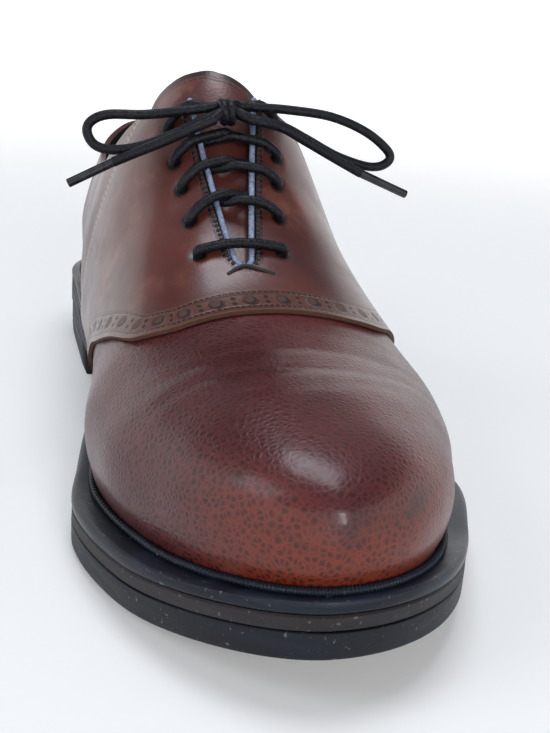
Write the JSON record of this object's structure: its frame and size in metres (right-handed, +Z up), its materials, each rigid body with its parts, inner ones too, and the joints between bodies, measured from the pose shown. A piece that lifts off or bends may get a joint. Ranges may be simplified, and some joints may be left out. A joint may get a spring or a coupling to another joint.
{
  "type": "brogued saddle oxford shoe",
  "caption": "Man's left lace-up oxford with a smooth brogued saddle over a pebble-grain upper, round laces in a bow, and a low rubber heel and welted sole.",
  "frame": {"origin": "on the floor, under the middle of the sole's length and width", "axes": "+X to the outer side of the left foot, +Y to the heel, +Z up"},
  "size_m": [0.1142, 0.312, 0.1229],
  "materials": {
    "sole_rubber": "satin, faint moulding streaks",
    "midsole_rubber": "matte",
    "welt_rubber": "satin",
    "insole_leather": "matte",
    "grain_leather": "pebbled grain, polished",
    "saddle_leather": "smooth, polished",
    "tongue_leather": "smooth",
    "piping": "woven edge",
    "lace_cord": "waxed round cord",
    "aglet_plastic": "glossy"
  },
  "bodies": {
    "root": {"heel_lift": "sole_rubber", "heel_block": "sole_rubber", "outsole": "sole_rubber", "midsole": "midsole_rubber", "welt": "welt_rubber", "insole": "insole_leather", "upper": "grain_leather", "saddle": "saddle_leather", "tongue": "tongue_leather", "throat_binding": "piping", "lace_bar": "lace_cord", "lace_cross_1": "lace_cord", "lace_cross_2": "lace_cord", "lace_cross_3": "lace_cord", "lace_knot": "lace_cord", "lace_loop_medial": "lace_cord", "lace_loop_lateral": "lace_cord", "lace_end_medial": "lace_cord", "lace_end_lateral": "lace_cord", "aglet_medial": "aglet_plastic", "aglet_lateral": "aglet_plastic"}
  },
  "joints": []
}
